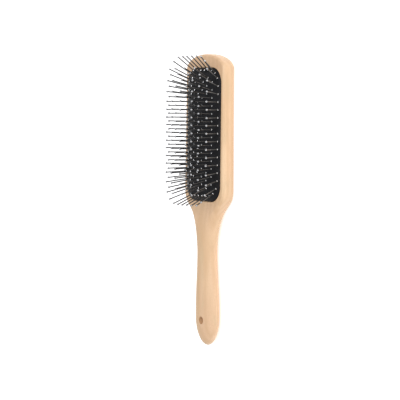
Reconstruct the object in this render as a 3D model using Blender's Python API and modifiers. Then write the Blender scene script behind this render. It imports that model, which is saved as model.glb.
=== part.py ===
"""Vanity hairbrush: a one-piece wooden paddle, a domed rubber air cushion and ball-tipped steel pins.

The brush lies on the flat back of its head with its pins up. X runs across the head, Y runs from the handle's
end to the head's end, and Z points out of the pin face and is 0 on the back. Lengths are in metres.
"""

import math

import bmesh
import bpy
from mathutils import Matrix, Vector

MM = 0.001

# The wooden paddle, head and handle in one piece
HALF_LENGTH = 121.2 * MM
HEAD_THICKNESS = 13 * MM
HEAD_END_DEPTH = 12 * MM  # the head's far end is half an ellipse, this deep
HEAD_SPINE_END = 99 * MM  # past here the edges round towards this point on the centre line
HANDLE_END_DEPTH = 24 * MM
BACK_EDGE_RADIUS = 5 * MM
FACE_EDGE_RADIUS = 2.4 * MM
NECK_CENTRE_Z = 8.15 * MM
NECK_Y = -41.3 * MM
HANDLE_FALL = math.tan(math.radians(0.85))  # the handle leans down a little towards its end
HANDLE_HALF_THICKNESS = 6.9 * MM
HANDLE_ROUNDNESS = 0.9  # the share of the handle's half width that its rounding takes
BLEND_START_Y = 2.7 * MM  # the flat head turns into the round handle between these
BLEND_END_Y = -33.3 * MM
SIDE_POINTS = (  # y and half width in millimetres, down one side between the two rounded ends
    (109.2, 27.6),
    (60.7, 28.0),
    (12.7, 28.6),
    (6.7, 28.5),
    (1.7, 27.3),
    (-2.3, 24.7),
    (-6.3, 21.2),
    (-11.3, 17.5),
    (-19.3, 14.45),
    (-29.3, 12.2),
    (-41.3, 10.6),
    (-54.3, 11.0),
    (-65.3, 12.1),
    (-77.3, 13.4),
    (-87.3, 14.1),
    (-97.2, 14.2),
)
SHOULDER_TOP_Y = 12 * MM
SHOULDER_BOTTOM_Y = -24 * MM
HEAD_END_STEPS = 9
STRAIGHT_STEPS = 4
SHOULDER_STEPS = 11
HANDLE_STEPS = 9
HANDLE_END_STEPS = 8
LOWER_ANGLES = (90, 67.5, 45, 22.5, 0)
UPPER_ANGLES = (0, 30, 60, 90)
HANG_HOLE_RADIUS = 3.1 * MM
HANG_HOLE_Y = -100.3 * MM
HANG_HOLE_SIDES = 20
HANG_HOLE_DEPTH = 4 * HANDLE_HALF_THICKNESS

# The rubber cushion and the pocket that holds it
PAD_CENTRE_Y = 54.6 * MM
PAD_HALF_WIDTH = 24.2 * MM
PAD_HALF_LENGTH = 55 * MM
PAD_CORNER_RADIUS = 13 * MM
PAD_HEIGHT = 5.5 * MM
PAD_WALL = 1.3 * MM
DOME_POWER = 2.1
DOME_EDGE_POWER = 0.88
DOME_INSETS = (0.5 * MM, 1.5 * MM, 3 * MM, 5.5 * MM, 9 * MM, 13 * MM, 17.2 * MM, 22.5 * MM)
FLANGE_WIDTH = 0.7 * MM
FLANGE_DROP = 1.95 * MM  # from the head's face to the top of the flange
GAP = 0.3 * MM
POCKET_FLOOR_Z = 6 * MM
CORNER_STEPS = 5
SMALLEST_CORNER = 0.2 * MM

# The pins
COLUMNS = 9
PIN_CENTRE_Y = 55.9 * MM  # the pins stand a little nearer the head's end than the cushion's middle
PIN_FIELD_HALF_LENGTH = 51.5 * MM
COLUMN_ROWS = (15, 14, 15, 14, 13)  # rows in the middle column and in each one outwards from it
PIN_PITCH = 6.45 * MM
OUTER_COLUMN_X = 22.05 * MM
RING_PITCH = 5.25 * MM  # the last row follows the cushion's rounded end, this far from pin to pin
RING_COLUMNS = (1, 2, 3, 4, 4)  # the column, counted from the middle one, that each of its pins belongs to
RING_RADIUS = 11 * MM  # of the last row's corners
PIN_RADIUS = 0.5 * MM
BALL_RADIUS = 0.9 * MM
BALL_CROWN = (0.6, 0.75)  # radius and height of the ring between middle and top, in ball radii
PIN_LENGTH = 17.9 * MM  # from the rubber to the middle of the ball
PIN_SIDES = 6
SHOULDER_RADIUS = 0.85 * MM  # a small swelling of the wire just above the rubber
SHOULDER_HEIGHTS = (0.4 * MM, 0.75 * MM, 1.2 * MM)
COLUMN_LEAN = math.radians(24.4)  # the outer columns lean out by this, the others in proportion
HEAD_END_LEAN = math.radians(40)  # the last row at each end leans out by this
HANDLE_END_LEAN = math.radians(26)
END_LEAN_REACH = 28 * MM
END_LEAN_POWER = 1.6
HOLE_RADIUS = 0.8 * MM
HOLE_DEPTH = 4 * PAD_WALL
CARRIER_DEPTH = 2.7 * MM  # below the rubber's outer face, along the pin
CARRIER_RADIUS = 0.8 * MM
CARRIER_OVERHANG = 1.0 * MM
COLUMN_PARTS = ("handle_end", "middle", "head_end")

CUT_MARGIN = 5 * MM
WELD_DISTANCE = 0.001 * MM
WOOD_SHARP_ANGLE = math.radians(40)
PIN_SHARP_ANGLE = math.radians(60)


def clear_scene():
    for old in list(bpy.data.objects):
        bpy.data.objects.remove(old)


def new_collection(name):
    collection = bpy.data.collections.new(name)
    bpy.context.scene.collection.children.link(collection)
    return collection


def new_material(name, colour, roughness, metallic):
    material = bpy.data.materials.new(name)
    material.use_nodes = True
    shader = material.node_tree.nodes["Principled BSDF"]
    shader.inputs["Base Color"].default_value = (*colour, 1)
    shader.inputs["Roughness"].default_value = roughness
    shader.inputs["Metallic"].default_value = metallic
    return material


def new_object(name, mesh, collection, material=None):
    made = bpy.data.objects.new(name, mesh)
    collection.objects.link(made)
    if material:
        mesh.materials.append(material)
    return made


def new_cutter(name, mesh, collection):
    cutter = new_object(name, mesh, collection)
    cutter.hide_render = True
    cutter.display_type = "WIRE"
    return cutter


def add_boolean(target, operation, other):
    modifier = target.modifiers.new(f"{operation.lower()}_{other.name}", "BOOLEAN")
    modifier.operation = operation
    modifier.solver = "EXACT"
    modifier.object = other


def mesh_of(curve, name, collection):
    """The curve's evaluated shape as a closed mesh object, in the curve's place."""
    collection.objects.link(curve)
    graph = bpy.context.evaluated_depsgraph_get()
    mesh = bpy.data.meshes.new_from_object(curve.evaluated_get(graph))
    welded = bmesh.new()
    welded.from_mesh(mesh)
    bmesh.ops.remove_doubles(welded, verts=welded.verts, dist=WELD_DISTANCE)
    bmesh.ops.recalc_face_normals(welded, faces=welded.faces)
    welded.to_mesh(mesh)
    welded.free()
    made = new_cutter(name, mesh, collection)
    made.matrix_world = curve.matrix_world
    bpy.data.objects.remove(curve)
    return made


def between(low, high, share):
    return low + (high - low) * share


def evenly(start, stop, count):
    """Count values from start towards stop, without stop itself."""
    return [between(start, stop, i / count) for i in range(count)]


# The wooden paddle


def side_half_width(y):
    """Half the paddle's width between its rounded ends: a smooth curve through SIDE_POINTS."""
    points = [(py * MM, width * MM) for py, width in SIDE_POINTS]
    slopes = [0.0]
    for before, after in zip(points, points[2:]):
        slopes.append((after[1] - before[1]) / (after[0] - before[0]))
    slopes.append(0.0)
    for i in range(len(points) - 1):
        (y0, w0), (y1, w1) = points[i], points[i + 1]
        if y >= y1 or i == len(points) - 2:
            break
    span = y1 - y0
    t = (y - y0) / span
    start = w0 * (1 + 2 * t) * (1 - t) ** 2 + span * slopes[i] * t * (1 - t) ** 2
    end = w1 * t * t * (3 - 2 * t) + span * slopes[i + 1] * t * t * (t - 1)
    return start + end


def side_outline():
    """One side of the paddle seen from above, from the head's tip to the handle's tip."""
    head_y = HALF_LENGTH - HEAD_END_DEPTH
    handle_y = HANDLE_END_DEPTH - HALF_LENGTH
    points = []
    for angle in evenly(0, math.pi / 2, HEAD_END_STEPS):
        x = side_half_width(head_y) * math.sin(angle)
        points.append((x, head_y + HEAD_END_DEPTH * math.cos(angle)))
    straight = evenly(head_y, SHOULDER_TOP_Y, STRAIGHT_STEPS)
    shoulder = evenly(SHOULDER_TOP_Y, SHOULDER_BOTTOM_Y, SHOULDER_STEPS)
    handle = evenly(SHOULDER_BOTTOM_Y, handle_y, HANDLE_STEPS)
    for y in straight + shoulder + handle:
        points.append((side_half_width(y), y))
    for angle in evenly(0, math.pi / 2, HANDLE_END_STEPS):
        x = side_half_width(handle_y) * math.cos(angle)
        points.append((x, handle_y - HANDLE_END_DEPTH * math.sin(angle)))
    points.append((0.0, -HALF_LENGTH))
    return points


def handle_share(y):
    """0 on the flat head, 1 on the round handle, and a smooth step between."""
    t = min(max((BLEND_START_Y - y) / (BLEND_START_Y - BLEND_END_Y), 0), 1)
    return t * t * (3 - 2 * t)


def edge_point(x, y, angle, upper):
    """The paddle's surface above or below an outline point: angle is 0 on the side, 90 on the face."""
    spine_y = min(max(y, HANDLE_END_DEPTH - HALF_LENGTH), HEAD_SPINE_END)
    reach = math.hypot(x, y - spine_y)
    share = handle_share(y)
    centre_z = NECK_CENTRE_Z - (NECK_Y - y) * HANDLE_FALL
    bottom = between(0, centre_z - HANDLE_HALF_THICKNESS, share)
    top = between(HEAD_THICKNESS, centre_z + HANDLE_HALF_THICKNESS, share)
    radius = FACE_EDGE_RADIUS if upper else BACK_EDGE_RADIUS
    inset = between(radius, HANDLE_ROUNDNESS * reach, share) * (1 - math.cos(math.radians(angle)))
    rise = between(radius, HANDLE_HALF_THICKNESS, share)
    height = rise * (1 - math.sin(math.radians(angle)))
    kept = 1 - inset / reach
    return Vector((x * kept, spine_y + (y - spine_y) * kept, top - height if upper else bottom + height))


def paddle_mesh():
    """Rings round the outline from the back to the face, closed by strips across the back and the face."""
    outline = side_outline()
    levels = [(angle, False) for angle in LOWER_ANGLES] + [(angle, True) for angle in UPPER_ANGLES]
    shape = bmesh.new()
    rings = []
    for angle, upper in levels:
        side = [shape.verts.new(edge_point(x, y, angle, upper)) for x, y in outline]
        other = [shape.verts.new((-v.co.x, v.co.y, v.co.z)) for v in side[1:-1]]
        rings.append((side, [side[0], *other, side[-1]]))
    for (side, other), (side_up, other_up) in zip(rings, rings[1:]):
        for i in range(len(outline) - 1):
            shape.faces.new((side[i], side_up[i], side_up[i + 1], side[i + 1]))
            shape.faces.new((other[i], other[i + 1], other_up[i + 1], other_up[i]))
    for side, other in (rings[0], rings[-1]):
        for i in range(len(outline) - 1):
            corners = dict.fromkeys((side[i], side[i + 1], other[i + 1], other[i]))
            shape.faces.new(tuple(corners))
    bmesh.ops.recalc_face_normals(shape, faces=shape.faces)
    mesh = bpy.data.meshes.new("paddle")
    shape.to_mesh(mesh)
    shape.free()
    mesh.shade_smooth()
    mesh.set_sharp_from_angle(angle=WOOD_SHARP_ANGLE)
    return mesh


def pad_outline(inset):
    """The cushion's outline drawn in by inset, as points in order round it."""
    radius = max(PAD_CORNER_RADIUS - inset, SMALLEST_CORNER)
    centre_x = PAD_HALF_WIDTH - inset - radius
    centre_y = PAD_HALF_LENGTH - inset - radius
    points = []
    for corner, (side_x, side_y) in enumerate(((1, 1), (-1, 1), (-1, -1), (1, -1))):
        for step in range(CORNER_STEPS + 1):
            angle = math.pi / 2 * (corner + step / CORNER_STEPS)
            x = side_x * centre_x + radius * math.cos(angle)
            y = PAD_CENTRE_Y + side_y * centre_y + radius * math.sin(angle)
            points.append((x, y))
    return points


def pad_slab(name, outset, bottom, top, collection):
    """A block with the cushion's outline, let out by outset: a flat curve with a thickness."""
    curve_data = bpy.data.curves.new(name, "CURVE")
    curve_data.dimensions = "2D"
    curve_data.fill_mode = "BOTH"
    curve_data.extrude = (top - bottom) / 2
    points = pad_outline(-outset)
    spline = curve_data.splines.new("POLY")
    spline.points.add(len(points) - 1)
    for point, (x, y) in zip(spline.points, points):
        point.co = (x, y, 0, 1)
    spline.use_cyclic_u = True
    curve = bpy.data.objects.new(name, curve_data)
    curve.location.z = (top + bottom) / 2
    bpy.context.view_layer.update()
    return mesh_of(curve, name, collection)


def build_wooden_body(parts, cutters, wood):
    body = new_object("wooden_body", paddle_mesh(), parts, wood)
    pocket_top = HEAD_THICKNESS + CUT_MARGIN
    pocket = pad_slab("pocket_cutter", GAP, POCKET_FLOOR_Z, pocket_top, cutters)
    groove_top = HEAD_THICKNESS - FLANGE_DROP + GAP
    groove_bottom = groove_top - PAD_WALL - 2 * GAP
    groove = pad_slab("groove_cutter", FLANGE_WIDTH + GAP, groove_bottom, groove_top, cutters)
    hole_mesh = bpy.data.meshes.new("hang_hole_cutter")
    hole = bmesh.new()
    bmesh.ops.create_cone(
        hole,
        cap_ends=True,
        segments=HANG_HOLE_SIDES,
        radius1=HANG_HOLE_RADIUS,
        radius2=HANG_HOLE_RADIUS,
        depth=HANG_HOLE_DEPTH,
    )
    hole.to_mesh(hole_mesh)
    hole.free()
    hang_hole = new_cutter("hang_hole_cutter", hole_mesh, cutters)
    hang_hole.location = (0, HANG_HOLE_Y, NECK_CENTRE_Z)
    for cutter in (pocket, groove, hang_hole):
        add_boolean(body, "DIFFERENCE", cutter)


# The rubber cushion


def dome_height(inset):
    """How far the rubber stands above the head's face, by distance in from the cushion's edge."""
    share = max(1 - inset / PAD_HALF_WIDTH, 0)
    return PAD_HEIGHT * (1 - share**DOME_POWER) ** DOME_EDGE_POWER


def build_cushion(parts, rubber, holes):
    """The rubber's outer skin, from the flange in its groove up over the dome, given its wall by Solidify."""
    profile = [(-FLANGE_WIDTH, -FLANGE_DROP), (0, -FLANGE_DROP), (0, 0)]
    profile += [(inset, dome_height(inset)) for inset in DOME_INSETS]
    skin = bmesh.new()
    rings = []
    for inset, height in profile:
        z = HEAD_THICKNESS + height
        rings.append([skin.verts.new((x, y, z)) for x, y in pad_outline(inset)])
    for lower, upper in zip(rings, rings[1:]):
        for i in range(len(lower)):
            after = (i + 1) % len(lower)
            skin.faces.new((lower[i], lower[after], upper[after], upper[i]))
    skin.faces.new(rings[-1])
    mesh = bpy.data.meshes.new("cushion")
    skin.to_mesh(mesh)
    skin.free()
    mesh.shade_smooth()
    cushion = new_object("rubber_cushion", mesh, parts, rubber)
    solidify = cushion.modifiers.new("wall", "SOLIDIFY")
    solidify.thickness = PAD_WALL
    solidify.offset = -1
    solidify.use_even_offset = True
    add_boolean(cushion, "DIFFERENCE", holes)


# The pins


def edge_distance(x, y):
    """How far a point on the cushion lies in from its edge."""
    corner_x = PAD_HALF_WIDTH - PAD_CORNER_RADIUS
    corner_y = PAD_HALF_LENGTH - PAD_CORNER_RADIUS
    past_x = abs(x) - corner_x
    past_y = abs(y - PAD_CENTRE_Y) - corner_y
    if past_x > 0 and past_y > 0:
        return PAD_CORNER_RADIUS - math.hypot(past_x, past_y)
    return PAD_CORNER_RADIUS - max(past_x, past_y)


def ring_place(distance, end):
    """A point of the last row at an end, 1 or -1, by its distance round from the row's middle."""
    straight = OUTER_COLUMN_X - RING_RADIUS
    angle = max(distance - straight, 0) / RING_RADIUS
    x = min(distance, straight) + RING_RADIUS * math.sin(angle)
    return x, end * (PIN_FIELD_HALF_LENGTH - RING_RADIUS + RING_RADIUS * math.cos(angle))


def column_pins(column):
    """Root point and direction of each pin of a column, from the handle's end to the head's end."""
    outer = (COLUMNS - 1) // 2
    rows = COLUMN_ROWS[abs(column)]
    places = [(OUTER_COLUMN_X * column / outer, (row - (rows - 1) / 2) * PIN_PITCH) for row in range(rows)]
    for number, ring_column in enumerate(RING_COLUMNS):
        if ring_column == abs(column):
            for end in (-1, 1):
                x, along = ring_place((number + 0.5) * RING_PITCH, end)
                places.append((math.copysign(x, column), along))
    places.sort(key=lambda place: place[1])
    pins = []
    for x, along in places:
        y = PIN_CENTRE_Y + along
        root = Vector((x, y, HEAD_THICKNESS + dome_height(edge_distance(x, y))))
        end_distance = PIN_FIELD_HALF_LENGTH - abs(along)
        end_share = min(max(1 - end_distance / END_LEAN_REACH, 0), 1) ** END_LEAN_POWER
        lean_x = COLUMN_LEAN * x / OUTER_COLUMN_X
        lean_y = end_share * (HEAD_END_LEAN if along > 0 else -HANDLE_END_LEAN)
        direction = Vector((math.tan(lean_x), math.tan(lean_y), 1)).normalized()
        pins.append((root, direction))
    return pins


def placed(mesh, pins, name):
    """One mesh with a copy of the given mesh standing at each pin's root, along the pin."""
    together = bmesh.new()
    for root, direction in pins:
        copy = mesh.copy()
        turn = Vector((0, 0, 1)).rotation_difference(direction).to_matrix().to_4x4()
        copy.transform(Matrix.Translation(root) @ turn)
        together.from_mesh(copy)
        bpy.data.meshes.remove(copy)
    made = bpy.data.meshes.new(name)
    together.to_mesh(made)
    together.free()
    made.shade_smooth()
    made.set_sharp_from_angle(angle=PIN_SHARP_ANGLE)
    return made


def pin_mesh(cutters):
    """One pin turned about Z: its ball on top, its wire, and a foot inside the carrier."""
    profile = (
        (0, PIN_LENGTH + BALL_RADIUS),
        (BALL_CROWN[0] * BALL_RADIUS, PIN_LENGTH + BALL_CROWN[1] * BALL_RADIUS),
        (BALL_RADIUS, PIN_LENGTH),
        (PIN_RADIUS, PIN_LENGTH - BALL_RADIUS),
        (PIN_RADIUS, SHOULDER_HEIGHTS[2]),
        (SHOULDER_RADIUS, SHOULDER_HEIGHTS[1]),
        (PIN_RADIUS, SHOULDER_HEIGHTS[0]),
        (PIN_RADIUS, -CARRIER_DEPTH),
        (0, -CARRIER_DEPTH),
    )
    outline = bmesh.new()
    verts = [outline.verts.new((x, 0, z)) for x, z in profile]
    for a, b in zip(verts, verts[1:]):
        outline.edges.new((a, b))
    mesh = bpy.data.meshes.new("pin_profile")
    outline.to_mesh(mesh)
    outline.free()
    lathe = new_object("pin_lathe", mesh, cutters)
    screw = lathe.modifiers.new("turn", "SCREW")
    screw.steps = PIN_SIDES
    screw.render_steps = PIN_SIDES
    screw.use_merge_vertices = True
    screw.merge_threshold = WELD_DISTANCE
    graph = bpy.context.evaluated_depsgraph_get()
    turned = bpy.data.meshes.new_from_object(lathe.evaluated_get(graph))
    bpy.data.objects.remove(lathe)
    return turned


def hole_mesh():
    prism = bmesh.new()
    bmesh.ops.create_cone(
        prism,
        cap_ends=True,
        segments=PIN_SIDES,
        radius1=HOLE_RADIUS,
        radius2=HOLE_RADIUS,
        depth=HOLE_DEPTH,
    )
    mesh = bpy.data.meshes.new("pin_hole")
    prism.to_mesh(mesh)
    prism.free()
    return mesh


def carrier(pins, name, cutters):
    """The hidden bar under the rubber that joins the feet of a group of pins."""
    feet = [root - direction * CARRIER_DEPTH for root, direction in pins]
    start = feet[0] + (feet[0] - feet[1]).normalized() * CARRIER_OVERHANG
    end = feet[-1] + (feet[-1] - feet[-2]).normalized() * CARRIER_OVERHANG
    route = [start, *feet, end]
    curve_data = bpy.data.curves.new(name, "CURVE")
    curve_data.dimensions = "3D"
    curve_data.bevel_depth = CARRIER_RADIUS
    curve_data.bevel_resolution = 0
    curve_data.use_fill_caps = True
    spline = curve_data.splines.new("POLY")
    spline.points.add(len(route) - 1)
    for point, place in zip(spline.points, route):
        point.co = (*place, 1)
    return mesh_of(bpy.data.objects.new(name, curve_data), name, cutters)


def build_pin_columns(parts, cutters, steel):
    """Each column's pins in three groups, so that each group is one solid. Returns every pin."""
    template = pin_mesh(cutters)
    every_pin = []
    outer = (COLUMNS - 1) // 2
    for column in range(-outer, outer + 1):
        pins = column_pins(column)
        every_pin += pins
        third = round(len(pins) / 3)
        groups = (pins[:third], pins[third:-third], pins[-third:])
        for part, group in zip(COLUMN_PARTS, groups):
            name = f"pin_column_{column + outer + 1}_{part}"
            node = new_object(name, placed(template, group, name), parts, steel)
            add_boolean(node, "UNION", carrier(group, f"{name}_carrier", cutters))
    return every_pin


def main():
    clear_scene()
    parts = new_collection("vanity_hairbrush")
    cutters = new_collection("cutters")
    wood = new_material("pale_wood", (0.80, 0.58, 0.37), 0.45, 0)
    rubber = new_material("black_rubber", (0.02, 0.02, 0.022), 0.55, 0)
    steel = new_material("polished_steel", (0.78, 0.78, 0.80), 0.22, 1)
    build_wooden_body(parts, cutters, wood)
    every_pin = build_pin_columns(parts, cutters, steel)
    holes = new_cutter("pin_hole_cutters", placed(hole_mesh(), every_pin, "pin_holes"), cutters)
    build_cushion(parts, rubber, holes)


main()
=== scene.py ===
"""The looks of the vanity hairbrush: a wooden paddle, a rubber air cushion and 147 steel pins.

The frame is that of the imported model: X runs across the head, Y from the handle's end to the
head's end, and Z out of the pin face. Lengths are in metres. The outline formulas are those of
the CAD model, drawn here at a finer pitch.
"""

import math
import random

import bmesh
import bpy
from mathutils import Matrix, Vector
from mathutils.geometry import delaunay_2d_cdt


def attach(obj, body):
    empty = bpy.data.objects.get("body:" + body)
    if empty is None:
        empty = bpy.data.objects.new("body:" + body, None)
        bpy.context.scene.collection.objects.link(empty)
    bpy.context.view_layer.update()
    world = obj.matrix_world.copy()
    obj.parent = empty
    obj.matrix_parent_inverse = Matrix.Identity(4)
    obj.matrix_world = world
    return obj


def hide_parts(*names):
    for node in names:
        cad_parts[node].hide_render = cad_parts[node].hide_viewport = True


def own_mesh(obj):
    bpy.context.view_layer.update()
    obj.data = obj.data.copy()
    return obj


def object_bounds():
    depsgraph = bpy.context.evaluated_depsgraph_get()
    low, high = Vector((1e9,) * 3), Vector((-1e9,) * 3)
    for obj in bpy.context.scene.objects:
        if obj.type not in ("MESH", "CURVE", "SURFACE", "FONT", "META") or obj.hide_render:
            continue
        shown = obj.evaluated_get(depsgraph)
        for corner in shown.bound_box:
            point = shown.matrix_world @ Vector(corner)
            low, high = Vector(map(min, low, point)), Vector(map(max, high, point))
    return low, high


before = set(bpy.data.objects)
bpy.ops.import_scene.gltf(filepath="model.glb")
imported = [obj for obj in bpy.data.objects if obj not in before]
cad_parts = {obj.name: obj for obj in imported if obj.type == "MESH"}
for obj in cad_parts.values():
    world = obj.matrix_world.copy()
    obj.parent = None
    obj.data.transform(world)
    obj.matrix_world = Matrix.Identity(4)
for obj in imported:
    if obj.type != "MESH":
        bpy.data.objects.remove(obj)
cad_low, cad_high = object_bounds()

MM = 0.001
UP = Vector((0, 0, 1))

# The wooden paddle
HALF_LENGTH = 121.2 * MM
HEAD_THICKNESS = 13 * MM
HEAD_END_DEPTH = 12 * MM
HEAD_SPINE_END = 99 * MM
HANDLE_END_DEPTH = 24 * MM
BACK_EDGE_RADIUS = 5 * MM
FACE_EDGE_RADIUS = 2.4 * MM
NECK_CENTRE_Z = 8.15 * MM
NECK_Y = -41.3 * MM
HANDLE_FALL = math.tan(math.radians(0.85))
HANDLE_HALF_THICKNESS = 6.9 * MM
HANDLE_ROUNDNESS = 0.9
BLEND_START_Y = 2.7 * MM
BLEND_END_Y = -33.3 * MM
SIDE_POINTS = (  # y and half width in mm, down one side between the two rounded ends
    (109.2, 27.6),
    (60.7, 28.0),
    (12.7, 28.6),
    (6.7, 28.5),
    (1.7, 27.3),
    (-2.3, 24.7),
    (-6.3, 21.2),
    (-11.3, 17.5),
    (-19.3, 14.45),
    (-29.3, 12.2),
    (-41.3, 10.6),
    (-54.3, 11.0),
    (-65.3, 12.1),
    (-77.3, 13.4),
    (-87.3, 14.1),
    (-97.2, 14.2),
)
SHOULDER_TOP_Y = 12 * MM
SHOULDER_BOTTOM_Y = -24 * MM
END_STEPS = 36
STRAIGHT_STEPS = 22
SHOULDER_STEPS = 48
HANDLE_STEPS = 40
LOWER_STEPS = 12
UPPER_STEPS = 10
HANG_HOLE_RADIUS = 3.1 * MM
HANG_HOLE_Y = -100.3 * MM
HANG_HOLE_ROUNDING = 0.8 * MM
HANG_HOLE_SIDES = 48
POCKET_ROUNDING = 0.55 * MM
ROUNDING_STEPS = 7
ROUNDING_END = math.radians(75)  # a rim stops short of flat, to meet the face at a clear angle

# The rubber cushion
PAD_CENTRE_Y = 54.6 * MM
PAD_HALF_WIDTH = 24.2 * MM
PAD_HALF_LENGTH = 55 * MM
PAD_CORNER_RADIUS = 13 * MM
PAD_HEIGHT = 5.5 * MM
PAD_WALL = 1.3 * MM
DOME_POWER = 2.1
DOME_EDGE_POWER = 0.88
FLANGE_WIDTH = 0.7 * MM
FLANGE_DROP = 1.95 * MM
GAP = 0.3 * MM
POCKET_FLOOR_Z = 6 * MM
SKIN_EDGE = 0.2 * MM  # the dome's net starts this far in from the cushion's edge
OUTLINE_STEP = 0.8 * MM
NET_STEP = 1.3 * MM
COLLAR = (  # radius and height in mm of the rubber's lip round each pin
    (0.56, 0.2),
    (0.67, 0.32),
    (0.82, 0.33),
    (0.98, 0.2),
    (1.2, 0.0),
)
COLLAR_SIDES = 16
OUTER_CLEARANCE = 1.55 * MM  # round each pin, clear of the net's own points
INNER_CLEARANCE = 1.0 * MM
SKIRT = (  # inset and height above the head's face in mm, from the dome's edge down to the flange
    (0.08, 0.02),
    (0.02, -0.1),
    (0, -0.28),
)

# The pins
COLUMNS = 9
PIN_CENTRE_Y = 55.9 * MM
PIN_FIELD_HALF_LENGTH = 51.5 * MM
COLUMN_ROWS = (15, 14, 15, 14, 13)  # rows in the middle column and in each one outwards from it
PIN_PITCH = 6.45 * MM
OUTER_COLUMN_X = 22.05 * MM
RING_PITCH = 5.25 * MM
RING_COLUMNS = (1, 2, 3, 4, 4)
RING_RADIUS = 11 * MM
PIN_RADIUS = 0.5 * MM
BALL_RADIUS = 0.9 * MM
PIN_LENGTH = 17.9 * MM
PIN_SIDES = 14
BALL_STEPS = 9
BALL_NECK = 1.12  # radius where the ball runs into the wire, in wire radii
NECK_LENGTH = 1.25  # from the middle of the ball to the end of its neck, in ball radii
SHOULDER = (  # radius and height in mm of the swelling of the wire just above the rubber
    (0.5, 0.42),
    (0.74, 0.5),
    (0.85, 0.66),
    (0.83, 0.84),
    (0.67, 1.04),
    (0.5, 1.2),
)
SHOULDER_HIGHLIGHT_END = (1.1 * MM, 1.35 * MM)  # the painted highlight on the shoulder fades out between these heights
PIN_HEAD_RADIUS = 1.0 * MM
PIN_HEAD_FLAT = 0.9  # of its radius, inside the bevel
PIN_HEAD_GAP = 0.1 * MM
PIN_HEAD_THICKNESS = 0.35 * MM
COLUMN_LEAN = math.radians(24.4)
HEAD_END_LEAN = math.radians(40)
HANDLE_END_LEAN = math.radians(26)
END_LEAN_REACH = 28 * MM
END_LEAN_POWER = 1.6
LEAN_SCATTER = math.radians(0.7)
SCATTER_SEED = 11
COLUMN_PARTS = ("handle_end", "middle", "head_end")

WELD_DISTANCE = 0.001 * MM
WOOD_SHARP_ANGLE = 38
SMALL_SHARP_ANGLE = 50
FLOOR_RADIUS = 6
FLOOR_SIDES = 96

# The camera looks at the pin face from the brush's right, a little from the head's end
VIEW_TILT = math.radians(56)
VIEW_FROM_HEAD = math.radians(3.5)
VIEW_ROLL = math.radians(0.6)
VIEW_CENTRE = Vector((0, 0.4 * MM, 16 * MM))
VIEW_DISTANCE = 1.4
VIEW_WIDTH = 0.3317
SENSOR_WIDTH = 36

# The light
SKY_COLOUR = (0.97, 0.98, 1.0)
SKY_STRENGTH = (0.42, 1.08)  # at the horizon and straight above
KEY_PLACE = (1.1, 0.6, 1.25)
KEY_AIM = Vector((0, 0, 10 * MM))
KEY_SIZE = 0.9
KEY_POWER = 12.5


def between(low, high, share):
    return low + (high - low) * share


def evenly(start, stop, count):
    """Count values from start towards stop, without stop itself."""
    return [between(start, stop, i / count) for i in range(count)]


# Objects and meshes


def new_object(name, mesh, material=None):
    made = bpy.data.objects.new(name, mesh)
    bpy.context.scene.collection.objects.link(made)
    if material:
        mesh.materials.append(material)
    return made


def mesh_from(shape, name, sharp_angle):
    """Turns a bmesh into a smooth mesh with its faces pointing out, and frees it."""
    bmesh.ops.recalc_face_normals(shape, faces=shape.faces)
    mesh = bpy.data.meshes.new(name)
    shape.to_mesh(mesh)
    shape.free()
    mesh.shade_smooth()
    mesh.set_sharp_from_angle(angle=math.radians(sharp_angle))
    return mesh


def lofted(rings, name, sharp_angle):
    """A closed mesh through rings of points, with a cap on each end."""
    shape = bmesh.new()
    loops = [[shape.verts.new(point) for point in ring] for ring in rings]
    for lower, upper in zip(loops, loops[1:]):
        for i in range(len(lower)):
            after = (i + 1) % len(lower)
            shape.faces.new((lower[i], lower[after], upper[after], upper[i]))
    shape.faces.new(loops[0])
    shape.faces.new(loops[-1])
    return mesh_from(shape, name, sharp_angle)


def turned(profile, sides, name, sharp_angle):
    """A closed mesh turned about Z from a profile of radius and height that ends on the axis."""
    shape = bmesh.new()
    verts = [shape.verts.new((radius, 0, z)) for radius, z in profile]
    edges = [shape.edges.new(pair) for pair in zip(verts, verts[1:])]
    bmesh.ops.spin(
        shape,
        geom=verts + edges,
        axis=UP,
        cent=(0, 0, 0),
        angle=2 * math.pi,
        steps=sides,
        use_merge=True,
    )
    bmesh.ops.remove_doubles(shape, verts=shape.verts, dist=WELD_DISTANCE)
    return mesh_from(shape, name, sharp_angle)


def cut(target, cutters):
    """Takes the cutters out of the target for good, and removes them."""
    for cutter in cutters:
        modifier = target.modifiers.new("cut", "BOOLEAN")
        modifier.operation = "DIFFERENCE"
        modifier.solver = "EXACT"
        modifier.object = cutter
    graph = bpy.context.evaluated_depsgraph_get()
    target.data = bpy.data.meshes.new_from_object(target.evaluated_get(graph))
    target.modifiers.clear()
    for cutter in cutters:
        bpy.data.objects.remove(cutter)


# Materials


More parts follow.
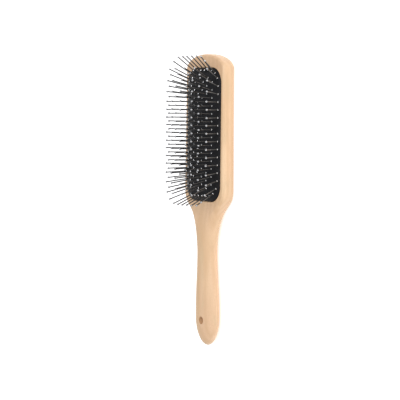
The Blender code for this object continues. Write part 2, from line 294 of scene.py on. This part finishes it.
class Nodes:
    """A material's node tree, with short calls for the nodes used here."""

    def __init__(self, name):
        self.material = bpy.data.materials.new(name)
        self.material.use_nodes = True
        self.tree = self.material.node_tree
        self.shader = self.tree.nodes["Principled BSDF"]
        self.place = self.add("ShaderNodeTexCoord").outputs["Object"]

    def add(self, kind, **settings):
        node = self.tree.nodes.new(kind)
        for key, value in settings.items():
            setattr(node, key, value)
        return node

    def put(self, socket, value):
        """Links a node's output to the socket, or sets the socket to a plain value."""
        if isinstance(value, bpy.types.NodeSocket):
            self.tree.links.new(value, socket)
        else:
            socket.default_value = value

    def set(self, **values):
        for key, value in values.items():
            self.put(self.shader.inputs[key.replace("_", " ")], value)

    def scaled(self, x, y, z):
        """Object coordinates, counted in cells of the given size in millimetres."""
        node = self.add("ShaderNodeMapping")
        self.put(node.inputs["Vector"], self.place)
        node.inputs["Scale"].default_value = (1 / (x * MM), 1 / (y * MM), 1 / (z * MM))
        return node.outputs["Vector"]

    def noise(self, cell, detail=3.0, roughness=0.5, distortion=0.0):
        node = self.add("ShaderNodeTexNoise")
        self.put(node.inputs["Vector"], self.scaled(*cell))
        node.inputs["Scale"].default_value = 1.0
        node.inputs["Detail"].default_value = detail
        node.inputs["Roughness"].default_value = roughness
        node.inputs["Distortion"].default_value = distortion
        return node.outputs["Fac"]

    def ramp(self, value, low, high, start=0.0, stop=1.0):
        """Maps value from low..high to start..stop, and holds it there."""
        node = self.add("ShaderNodeMapRange")
        self.put(node.inputs["Value"], value)
        node.inputs["From Min"].default_value = low
        node.inputs["From Max"].default_value = high
        node.inputs["To Min"].default_value = start
        node.inputs["To Max"].default_value = stop
        return node.outputs["Result"]

    def maths(self, operation, a, b):
        node = self.add("ShaderNodeMath", operation=operation)
        self.put(node.inputs[0], a)
        self.put(node.inputs[1], b)
        return node.outputs["Value"]

    def mix(self, share, a, b):
        node = self.add("ShaderNodeMix", data_type="RGBA")
        self.put(node.inputs["Factor"], share)
        for name, colour in (("A", a), ("B", b)):
            socket = next(s for s in node.inputs if s.name == name and s.type == "RGBA")
            self.put(socket, colour if isinstance(colour, bpy.types.NodeSocket) else (*colour, 1))
        return next(s for s in node.outputs if s.type == "RGBA")

    def bump(self, height, distance, strength=1.0):
        node = self.add("ShaderNodeBump")
        self.put(node.inputs["Height"], height)
        node.inputs["Distance"].default_value = distance
        node.inputs["Strength"].default_value = strength
        return node.outputs["Normal"]

    def height(self):
        """Height in the object's own frame, in metres."""
        node = self.add("ShaderNodeSeparateXYZ")
        self.put(node.inputs[0], self.place)
        return node.outputs["Z"]

    def edges(self, low, high):
        """1 on edges that hands wear, 0 on flats and hollows."""
        return self.ramp(self.add("ShaderNodeNewGeometry").outputs["Pointiness"], low, high)


def wood_material():
    """Pale straight-grained wood under a satin lacquer, its grain running along the brush."""
    wood = Nodes("pale_wood")
    rings = wood.add("ShaderNodeTexWave", wave_type="RINGS", rings_direction="Y")
    rings.wave_profile = "SIN"
    centre = wood.add("ShaderNodeVectorMath", operation="ADD")
    wood.put(centre.inputs[0], wood.scaled(1, 40, 1))
    centre.inputs[1].default_value = (31, 0, 44)
    wood.put(rings.inputs["Vector"], centre.outputs["Vector"])
    rings.inputs["Scale"].default_value = 0.085
    rings.inputs["Distortion"].default_value = 5.0
    rings.inputs["Detail"].default_value = 3.0
    rings.inputs["Detail Scale"].default_value = 0.6
    patches = wood.ramp(wood.noise((13, 60, 13), detail=2), 0.35, 0.65)
    tint = wood.ramp(wood.noise((22, 90, 17), detail=1), 0.38, 0.62)
    fibres = wood.noise((0.28, 9, 0.28), detail=4, roughness=0.6)
    pores = wood.ramp(wood.noise((0.16, 2.6, 0.16), detail=2), 0.62, 0.7)
    base = wood.mix(patches, (0.65, 0.425, 0.235), (0.79, 0.555, 0.34))
    base = wood.mix(wood.maths("MULTIPLY", tint, 0.6), base, (0.73, 0.46, 0.285))
    olive = wood.ramp(wood.noise((9, 26, 9), detail=3), 0.52, 0.7, 0.0, 0.5)
    base = wood.mix(olive, base, (0.60, 0.455, 0.27))
    base = wood.mix(wood.maths("MULTIPLY", rings.outputs["Fac"], 0.42), base, (0.60, 0.375, 0.20))
    base = wood.mix(wood.ramp(fibres, 0.3, 0.7, 0.0, 0.42), base, (0.57, 0.37, 0.215))
    base = wood.mix(wood.maths("MULTIPLY", pores, 0.35), base, (0.36, 0.215, 0.12))
    # Painted shade: the wood is painted darker within 4 mm of its back, the side that lies on the
    # table.
    painted_low_shade = wood.ramp(wood.height(), 0.5 * MM, 4 * MM, 0.38, 0.0)
    base = wood.mix(painted_low_shade, base, (0.42, 0.28, 0.17))
    worn = wood.edges(0.51, 0.56)
    base = wood.mix(wood.maths("MULTIPLY", worn, 0.25), base, (0.82, 0.63, 0.45))
    gloss = wood.ramp(fibres, 0.25, 0.75, 0.36, 0.50)
    relief = wood.maths("SUBTRACT", wood.maths("MULTIPLY", fibres, 0.5), pores)
    wood.set(Base_Color=base, Roughness=gloss, Normal=wood.bump(relief, 0.02 * MM, 0.5))
    wood.set(Coat_Weight=0.18, Coat_Roughness=0.28)
    return wood.material


def rubber_material():
    """Black moulded rubber with a faint bloom and a fine, slightly uneven skin."""
    rubber = Nodes("black_rubber")
    bloom = rubber.ramp(rubber.noise((9, 14, 9), detail=4), 0.4, 0.75)
    skin = rubber.noise((0.22, 0.22, 0.22), detail=3, roughness=0.65)
    waves = rubber.noise((3.5, 3.5, 3.5), detail=2)
    base = rubber.mix(bloom, (0.0045, 0.0045, 0.0055), (0.010, 0.010, 0.012))
    base = rubber.mix(rubber.ramp(skin, 0.55, 0.8, 0.0, 0.35), base, (0.022, 0.022, 0.025))
    gloss = rubber.ramp(waves, 0.3, 0.7, 0.36, 0.50)
    relief = rubber.maths("ADD", rubber.maths("MULTIPLY", skin, 0.25), waves)
    rubber.set(Base_Color=base, Roughness=gloss, Normal=rubber.bump(relief, 0.06 * MM, 0.5))
    rubber.set(Specular_IOR_Level=0.16)
    return rubber.material


def steel_material():
    """Drawn steel wire with a polished ball, the wire painted dark and darker towards the rubber as
    painted shade, and a painted highlight on the shoulder.
    """
    steel = Nodes("polished_steel")
    marks = steel.noise((0.12, 0.12, 2.5), detail=3)
    stain = steel.noise((0.9, 0.9, 3.0), detail=3)
    height = steel.height()
    # Painted shade and reflection: the wire is painted much darker than the ball, and darker still
    # towards the rubber below 14 mm.
    upper = steel.ramp(height, 1.5 * MM, 14 * MM)
    wire = steel.mix(upper, (0.05, 0.048, 0.045), (0.13, 0.128, 0.13))
    wire = steel.mix(steel.ramp(stain, 0.35, 0.7, 0.0, 0.6), wire, (0.04, 0.039, 0.039))
    ball = steel.ramp(height, PIN_LENGTH - 1.5 * BALL_RADIUS, PIN_LENGTH - 0.8 * BALL_RADIUS)
    # Painted highlight: the shoulder's steel is painted brighter than the ball, giving a bright dot
    # at each pin's root.
    shoulder = steel.ramp(height, *SHOULDER_HIGHLIGHT_END, 1.0, 0.0)
    base = steel.mix(ball, wire, (0.42, 0.42, 0.43))
    base = steel.mix(shoulder, base, (0.72, 0.72, 0.735))
    steel.set(
        Base_Color=base,
        Metallic=1.0,
        Roughness=steel.ramp(marks, 0.3, 0.7, 0.17, 0.30),
        Normal=steel.bump(marks, 0.004 * MM, 0.4),
    )
    return steel.material


def floor_material():
    floor = Nodes("floor")
    speckle = floor.noise((60, 60, 60), detail=2)
    base = floor.mix(speckle, (0.90, 0.90, 0.895), (0.93, 0.93, 0.925))
    floor.set(Base_Color=base, Roughness=0.9, Specular_IOR_Level=0.1)
    floor.set(Emission_Color=(1, 1, 1, 1), Emission_Strength=0.5)
    return floor.material


# The wooden paddle


def side_half_width(y):
    """Half the paddle's width between its rounded ends: a smooth curve through SIDE_POINTS."""
    points = [(py * MM, width * MM) for py, width in SIDE_POINTS]
    slopes = [0.0]
    for before, after in zip(points, points[2:]):
        slopes.append((after[1] - before[1]) / (after[0] - before[0]))
    slopes.append(0.0)
    for i in range(len(points) - 1):
        (y0, w0), (y1, w1) = points[i], points[i + 1]
        if y >= y1 or i == len(points) - 2:
            break
    span = y1 - y0
    t = (y - y0) / span
    start = w0 * (1 + 2 * t) * (1 - t) ** 2 + span * slopes[i] * t * (1 - t) ** 2
    end = w1 * t * t * (3 - 2 * t) + span * slopes[i + 1] * t * t * (t - 1)
    return start + end


def side_outline():
    """One side of the paddle seen from above, from the head's tip to the handle's tip."""
    head_y = HALF_LENGTH - HEAD_END_DEPTH
    handle_y = HANDLE_END_DEPTH - HALF_LENGTH
    points = []
    for angle in evenly(0, math.pi / 2, END_STEPS):
        x = side_half_width(head_y) * math.sin(angle)
        points.append((x, head_y + HEAD_END_DEPTH * math.cos(angle)))
    straight = evenly(head_y, SHOULDER_TOP_Y, STRAIGHT_STEPS)
    shoulder = evenly(SHOULDER_TOP_Y, SHOULDER_BOTTOM_Y, SHOULDER_STEPS)
    handle = evenly(SHOULDER_BOTTOM_Y, handle_y, HANDLE_STEPS)
    for y in straight + shoulder + handle:
        points.append((side_half_width(y), y))
    for angle in evenly(0, math.pi / 2, END_STEPS):
        x = side_half_width(handle_y) * math.cos(angle)
        points.append((x, handle_y - HANDLE_END_DEPTH * math.sin(angle)))
    points.append((0.0, -HALF_LENGTH))
    return points


def handle_share(y):
    """0 on the flat head, 1 on the round handle, and a smooth step between."""
    t = min(max((BLEND_START_Y - y) / (BLEND_START_Y - BLEND_END_Y), 0), 1)
    return t * t * (3 - 2 * t)


def handle_centre_z(y):
    return NECK_CENTRE_Z - (NECK_Y - y) * HANDLE_FALL


def edge_point(x, y, angle, upper):
    """The paddle's surface above or below an outline point: angle is 0 on the side."""
    spine_y = min(max(y, HANDLE_END_DEPTH - HALF_LENGTH), HEAD_SPINE_END)
    reach = math.hypot(x, y - spine_y)
    share = handle_share(y)
    bottom = between(0, handle_centre_z(y) - HANDLE_HALF_THICKNESS, share)
    top = between(HEAD_THICKNESS, handle_centre_z(y) + HANDLE_HALF_THICKNESS, share)
    radius = FACE_EDGE_RADIUS if upper else BACK_EDGE_RADIUS
    inset = between(radius, HANDLE_ROUNDNESS * reach, share) * (1 - math.cos(angle))
    rise = between(radius, HANDLE_HALF_THICKNESS, share)
    height = rise * (1 - math.sin(angle))
    kept = 1 - inset / reach
    z = top - height if upper else bottom + height
    return Vector((x * kept, spine_y + (y - spine_y) * kept, z))


def paddle_mesh():
    """Rings round the outline from the back to the face, closed by strips across both."""
    outline = side_outline()
    levels = [(angle, False) for angle in evenly(math.pi / 2, 0, LOWER_STEPS)]
    levels.append((0.0, False))
    levels += [(angle, True) for angle in evenly(0, math.pi / 2, UPPER_STEPS)]
    levels.append((math.pi / 2, True))
    shape = bmesh.new()
    rings = []
    for angle, upper in levels:
        side = [shape.verts.new(edge_point(x, y, angle, upper)) for x, y in outline]
        other = [shape.verts.new((-v.co.x, v.co.y, v.co.z)) for v in side[1:-1]]
        rings.append((side, [side[0], *other, side[-1]]))
    for (side, other), (side_up, other_up) in zip(rings, rings[1:]):
        for i in range(len(outline) - 1):
            shape.faces.new((side[i], side_up[i], side_up[i + 1], side[i + 1]))
            shape.faces.new((other[i], other[i + 1], other_up[i + 1], other_up[i]))
    for side, other in (rings[0], rings[-1]):
        for i in range(len(outline) - 1):
            corners = dict.fromkeys((side[i], side[i + 1], other[i + 1], other[i]))
            shape.faces.new(tuple(corners))
    bmesh.ops.remove_doubles(shape, verts=shape.verts, dist=WELD_DISTANCE)
    return mesh_from(shape, "wooden_body", WOOD_SHARP_ANGLE)


def rounding(radius):
    """Offset outwards and height below the face, up a rounded rim and on past the face."""
    points = []
    for step in range(ROUNDING_STEPS + 1):
        angle = ROUNDING_END * step / ROUNDING_STEPS
        points.append((radius * (1 - math.cos(angle)), radius * (math.sin(angle) - 1)))
    last_out, last_up = points[-1]
    points.append((last_out + radius * math.tan(ROUNDING_END), last_up + radius))
    return points


def pocket_cutter():
    """The room for the cushion: its pocket, the groove for its flange and the rounded rim."""
    groove_top = HEAD_THICKNESS - FLANGE_DROP + GAP
    groove_bottom = groove_top - PAD_WALL - 2 * GAP
    levels = [
        (GAP, POCKET_FLOOR_Z),
        (GAP, groove_bottom),
        (FLANGE_WIDTH + GAP, groove_bottom),
        (FLANGE_WIDTH + GAP, groove_top),
        (GAP, groove_top),
    ]
    levels += [(GAP + out, HEAD_THICKNESS + up) for out, up in rounding(POCKET_ROUNDING)]
    rings = [[(x, y, z) for x, y in pad_outline(-outset)] for outset, z in levels]
    return new_object("pocket_cutter", lofted(rings, "pocket_cutter", WOOD_SHARP_ANGLE))


def hang_hole_cutter():
    centre_z = handle_centre_z(HANG_HOLE_Y)
    rim = []
    for out, up in rounding(HANG_HOLE_ROUNDING):
        rim.append((HANG_HOLE_RADIUS + out, HANDLE_HALF_THICKNESS + up))
    below = [(radius, centre_z - z) for radius, z in reversed(rim)]
    above = [(radius, centre_z + z) for radius, z in rim]
    profile = [(0, below[0][1]), *below, *above, (0, above[-1][1])]
    mesh = turned(profile, HANG_HOLE_SIDES, "hang_hole_cutter", WOOD_SHARP_ANGLE)
    cutter = new_object("hang_hole_cutter", mesh)
    cutter.location.y = HANG_HOLE_Y
    return cutter


def build_wooden_body():
    body = new_object("paddle", paddle_mesh(), wood_material())
    cut(body, [pocket_cutter(), hang_hole_cutter()])
    body.data.shade_smooth()
    body.data.set_sharp_from_angle(angle=math.radians(WOOD_SHARP_ANGLE))
    normals = body.modifiers.new("flat_faces_stay_flat", "WEIGHTED_NORMAL")
    normals.keep_sharp = True
    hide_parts("wooden_body")
    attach(body, "wooden_body")


# The pins' places


def dome_height(inset):
    """How far the rubber stands above the head's face, by distance in from the cushion's edge."""
    share = 1 - min(max(inset / PAD_HALF_WIDTH, 0), 1)
    return PAD_HEIGHT * (1 - share**DOME_POWER) ** DOME_EDGE_POWER


def edge_distance(x, y):
    """How far a point on the cushion lies in from its edge."""
    past_x = abs(x) - (PAD_HALF_WIDTH - PAD_CORNER_RADIUS)
    past_y = abs(y - PAD_CENTRE_Y) - (PAD_HALF_LENGTH - PAD_CORNER_RADIUS)
    if past_x > 0 and past_y > 0:
        return PAD_CORNER_RADIUS - math.hypot(past_x, past_y)
    return PAD_CORNER_RADIUS - max(past_x, past_y)


def ring_place(distance, end):
    """A point of the last row at an end, 1 or -1, by its distance round from the row's middle."""
    straight = OUTER_COLUMN_X - RING_RADIUS
    angle = max(distance - straight, 0) / RING_RADIUS
    x = min(distance, straight) + RING_RADIUS * math.sin(angle)
    return x, end * (PIN_FIELD_HALF_LENGTH - RING_RADIUS + RING_RADIUS * math.cos(angle))


def column_pins(column):
    """Root point and direction of each pin of a column, from the handle's end to the head's end."""
    outer = (COLUMNS - 1) // 2
    rows = COLUMN_ROWS[abs(column)]
    places = []
    for row in range(rows):
        places.append((OUTER_COLUMN_X * column / outer, (row - (rows - 1) / 2) * PIN_PITCH))
    for number, ring_column in enumerate(RING_COLUMNS):
        if ring_column == abs(column):
            for end in (-1, 1):
                x, along = ring_place((number + 0.5) * RING_PITCH, end)
                places.append((math.copysign(x, column), along))
    places.sort(key=lambda place: place[1])
    pins = []
    for x, along in places:
        y = PIN_CENTRE_Y + along
        root = Vector((x, y, HEAD_THICKNESS + dome_height(edge_distance(x, y))))
        end_distance = PIN_FIELD_HALF_LENGTH - abs(along)
        end_share = min(max(1 - end_distance / END_LEAN_REACH, 0), 1) ** END_LEAN_POWER
        lean_x = COLUMN_LEAN * x / OUTER_COLUMN_X
        lean_y = end_share * (HEAD_END_LEAN if along > 0 else -HANDLE_END_LEAN)
        direction = Vector((math.tan(lean_x), math.tan(lean_y), 1)).normalized()
        pins.append((root, direction))
    return pins


# The rubber cushion


def pad_outline(inset):
    """The cushion's outline drawn in by inset, with the same count of points for every inset."""
    radius = PAD_CORNER_RADIUS - inset
    centre_x = PAD_HALF_WIDTH - PAD_CORNER_RADIUS
    centre_y = PAD_HALF_LENGTH - PAD_CORNER_RADIUS
    corner_steps = round(PAD_CORNER_RADIUS * math.pi / 2 / OUTLINE_STEP)
    points = []
    for corner, (side_x, side_y) in enumerate(((1, 1), (-1, 1), (-1, -1), (1, -1))):
        start = math.pi / 2 * corner
        for angle in evenly(start, start + math.pi / 2, corner_steps):
            x = side_x * centre_x + radius * math.cos(angle)
            points.append((x, side_y * centre_y + radius * math.sin(angle)))
        run = 2 * (centre_y if side_x != side_y else centre_x)
        end_x = side_x * centre_x - radius * math.sin(start)
        end_y = side_y * centre_y + radius * math.cos(start)
        along_x, along_y = -math.cos(start), -math.sin(start)
        for distance in evenly(0, run, round(run / OUTLINE_STEP)):
            points.append((end_x + along_x * distance, end_y + along_y * distance))
    return [(x, PAD_CENTRE_Y + y) for x, y in points]


def ring_round(pin, radius, drop=0.0):
    """Points round a pin at a radius square to it, on a level plane this far below its root."""
    root, direction = pin
    turn = UP.rotation_difference(direction)
    centre = root - direction * (drop / direction.z)
    points = []
    for angle in evenly(0, 2 * math.pi, COLLAR_SIDES):
        offset = turn @ Vector((radius * math.cos(angle), radius * math.sin(angle), 0))
        offset -= direction * (offset.z / direction.z)
        points.append((centre.x + offset.x, centre.y + offset.y))
    return points


def net(border, rings_by_pin, clearance, pins, drop):
    """Triangles that fill the border, with the pins' rings in them and a hole in each first ring.

    Returns the flat points, the triangles, and where the points of the border and of each pin's
    first ring are.
    """
    points = list(border)
    edges = [(i, (i + 1) % len(border)) for i in range(len(border))]
    holes = []
    for rings in rings_by_pin:
        for place, ring in enumerate(rings):
            start = len(points)
            points += ring
            for i in range(len(ring)):
                edges.append((start + i, start + (i + 1) % len(ring)))
            if place == 0:
                holes.append(range(start, start + len(ring)))
    centres = [root - direction * (drop / direction.z) for root, direction in pins]
    edge = edge_distance(*border[0])
    rows = math.ceil(PAD_HALF_LENGTH / NET_STEP)
    columns = math.ceil(PAD_HALF_WIDTH / NET_STEP)
    for row in range(-rows, rows + 1):
        for column in range(-columns, columns + 1):
            x = (column + 0.5 * (row % 2)) * NET_STEP
            y = PAD_CENTRE_Y + row * NET_STEP
            if edge_distance(x, y) < edge + 0.5 * NET_STEP:
                continue
            if any(math.hypot(x - c.x, y - c.y) < clearance for c in centres):
                continue
            points.append((x, y))
    hole_of = {i: number for number, hole in enumerate(holes) for i in hole}
    outline = [list(range(len(border)))]
    made = delaunay_2d_cdt([Vector(p) for p in points], edges, outline, 1, 1e-8)
    verts, faces, sources = made[0], made[2], made[3]
    first_source = [min(s) if s else -1 for s in sources]
    triangles = []
    for face in faces:
        inside = {hole_of.get(first_source[i], -1 - i) for i in face}
        if len(inside) > 1:
            triangles.append(tuple(face))
    at = {source: i for i, source in enumerate(first_source)}
    border_at = [at[i] for i in range(len(border))]
    holes_at = [[at[i] for i in hole] for hole in holes]
    return verts, triangles, border_at, holes_at


def collar_height(x, y, pins):
    """Height of the moulded collar round the nearest pin."""
    root, direction = min(pins, key=lambda pin: (pin[0].x - x) ** 2 + (pin[0].y - y) ** 2)
    offset = Vector((x - root.x, y - root.y, 0))
    distance = (offset - direction * offset.dot(direction)).length / MM
    for (near, low), (far, high) in zip(COLLAR, COLLAR[1:]):
        if distance <= far:
            return between(low, high, max(distance - near, 0) / (far - near)) * MM
    return 0.0


def build_cushion(pins):
    """One closed membrane: an outer and an inner skin, joined at every pin hole and the flange."""
    shape = bmesh.new()
    outer_rings = [[ring_round(pin, radius * MM) for radius, _ in COLLAR] for pin in pins]
    outer = net(pad_outline(SKIN_EDGE), outer_rings, OUTER_CLEARANCE, pins, 0)
    inner_rings = [[ring_round(pin, COLLAR[0][0] * MM, PAD_WALL)] for pin in pins]
    inner = net(pad_outline(PAD_WALL), inner_rings, INNER_CLEARANCE, pins, PAD_WALL)
    outer_verts = []
    for point in outer[0]:
        z = HEAD_THICKNESS + dome_height(edge_distance(*point)) + collar_height(*point, pins)
        outer_verts.append(shape.verts.new((*point, z)))
    inner_verts = []
    for point in inner[0]:
        z = HEAD_THICKNESS + dome_height(edge_distance(*point) - PAD_WALL) - PAD_WALL
        inner_verts.append(shape.verts.new((*point, z)))
    for verts, made in ((outer_verts, outer), (inner_verts, inner)):
        for triangle in made[1]:
            shape.faces.new([verts[i] for i in triangle])
    for above, below in zip(outer[3], inner[3]):
        join_rings(shape, [outer_verts[i] for i in above], [inner_verts[i] for i in below])
    flange_top = HEAD_THICKNESS - FLANGE_DROP
    skirt = [(inset * MM, HEAD_THICKNESS + up * MM) for inset, up in SKIRT]
    skirt += [
        (0, flange_top),
        (-FLANGE_WIDTH, flange_top),
        (-FLANGE_WIDTH, flange_top - PAD_WALL),
        (PAD_WALL, flange_top - PAD_WALL),
    ]
    ring = [outer_verts[i] for i in outer[2]]
    for inset, z in skirt:
        lower = [shape.verts.new((x, y, z)) for x, y in pad_outline(inset)]
        join_rings(shape, ring, lower)
        ring = lower
    join_rings(shape, ring, [inner_verts[i] for i in inner[2]])
    mesh = mesh_from(shape, "air_cushion", SMALL_SHARP_ANGLE)
    cushion = new_object("air_cushion", mesh, rubber_material())
    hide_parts("rubber_cushion")
    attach(cushion, "wooden_body")
    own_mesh(cushion)


def join_rings(shape, one, other):
    for i in range(len(one)):
        after = (i + 1) % len(one)
        shape.faces.new((one[i], one[after], other[after], other[i]))


# The pins


def pin_mesh():
    """One pin turned about Z: a flat head under the rubber, the wire, and a ball run into it."""
    head_top = -PAD_WALL - PIN_HEAD_GAP
    head_bottom = head_top - PIN_HEAD_THICKNESS
    profile = [
        (0, head_bottom),
        (PIN_HEAD_FLAT * PIN_HEAD_RADIUS, head_bottom),
        (PIN_HEAD_RADIUS, (head_top + head_bottom) / 2),
        (PIN_HEAD_FLAT * PIN_HEAD_RADIUS, head_top),
        (PIN_RADIUS, head_top),
        *[(radius * MM, height * MM) for radius, height in SHOULDER],
        (PIN_RADIUS, PIN_LENGTH - NECK_LENGTH * BALL_RADIUS),
    ]
    neck = math.acos(BALL_NECK * PIN_RADIUS / BALL_RADIUS)
    for step in range(BALL_STEPS + 1):
        angle = between(-neck, math.pi / 2, step / BALL_STEPS)
        profile.append((BALL_RADIUS * math.cos(angle), PIN_LENGTH + BALL_RADIUS * math.sin(angle)))
    return turned(profile, PIN_SIDES, "pin", SMALL_SHARP_ANGLE)


def build_pins(pins_by_column, steel):
    mesh = pin_mesh()
    mesh.materials.append(steel)
    scatter = random.Random(SCATTER_SEED)
    for column, pins in enumerate(pins_by_column, 1):
        third = round(len(pins) / 3)
        for number, (root, direction) in enumerate(pins):
            part = COLUMN_PARTS[(number >= third) + (number >= len(pins) - third)]
            pin = new_object(f"pin_{column}_{number + 1:02d}", mesh)
            lean = Vector((scatter.uniform(-1, 1), scatter.uniform(-1, 1), 0))
            lean *= math.tan(LEAN_SCATTER)
            turn = UP.rotation_difference(direction + lean).to_matrix().to_4x4()
            pin.matrix_world = Matrix.Translation(root) @ turn
            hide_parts(f"pin_column_{column}_{part}")
            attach(pin, f"pin_column_{column}")


# The stage


def build_floor():
    shape = bmesh.new()
    bmesh.ops.create_circle(shape, cap_ends=True, segments=FLOOR_SIDES, radius=FLOOR_RADIUS)
    floor = new_object("floor", mesh_from(shape, "floor", SMALL_SHARP_ANGLE), floor_material())
    floor.location.z = cad_low.z


def build_key_light():
    data = bpy.data.lights.new("key", "AREA")
    data.shape = "DISK"
    data.size = KEY_SIZE
    data.energy = KEY_POWER
    light = bpy.data.objects.new("key", data)
    bpy.context.scene.collection.objects.link(light)
    light.location = KEY_PLACE
    light.rotation_euler = (KEY_AIM - light.location).to_track_quat("-Z", "Y").to_euler()


def build_sky():
    """Soft light from all round, stronger from above than from the horizon."""
    world = bpy.data.worlds.new("studio")
    world.use_nodes = True
    tree = world.node_tree
    sky = tree.nodes["Background"]
    sky.inputs["Color"].default_value = (*SKY_COLOUR, 1)
    direction = tree.nodes.new("ShaderNodeTexCoord")
    height = tree.nodes.new("ShaderNodeSeparateXYZ")
    strength = tree.nodes.new("ShaderNodeMapRange")
    strength.inputs["To Min"].default_value = SKY_STRENGTH[0]
    strength.inputs["To Max"].default_value = SKY_STRENGTH[1]
    tree.links.new(direction.outputs["Generated"], height.inputs[0])
    tree.links.new(height.outputs["Z"], strength.inputs["Value"])
    tree.links.new(strength.outputs["Result"], sky.inputs["Strength"])
    bpy.context.scene.world = world
    bpy.context.scene.view_settings.view_transform = "Standard"


def build_camera():
    """Looks along the tilt, with the head's end up and a small roll."""
    flat = math.cos(VIEW_FROM_HEAD)
    across = math.sin(VIEW_TILT) * flat
    back = Vector((across, math.sin(VIEW_FROM_HEAD), math.cos(VIEW_TILT) * flat))
    up = (Vector((0, 1, 0)) - back * back.y).normalized()
    turn = Matrix((up.cross(back), up, back)).transposed()
    data = bpy.data.cameras.new("camera")
    data.sensor_width = SENSOR_WIDTH
    data.lens = SENSOR_WIDTH * VIEW_DISTANCE / VIEW_WIDTH
    data.clip_start = 0.1
    data.clip_end = 50
    camera = bpy.data.objects.new("camera", data)
    bpy.context.scene.collection.objects.link(camera)
    roll = Matrix.Rotation(VIEW_ROLL, 3, "Z")
    place = Matrix.Translation(VIEW_CENTRE + back * VIEW_DISTANCE)
    camera.matrix_world = place @ (turn @ roll).to_4x4()
    bpy.context.scene.camera = camera


build_camera()
build_key_light()
build_sky()
build_floor()
build_wooden_body()
outer_column = (COLUMNS - 1) // 2
pins_by_column = [column_pins(column) for column in range(-outer_column, outer_column + 1)]
build_cushion([pin for pins in pins_by_column for pin in pins])
build_pins(pins_by_column, steel_material())
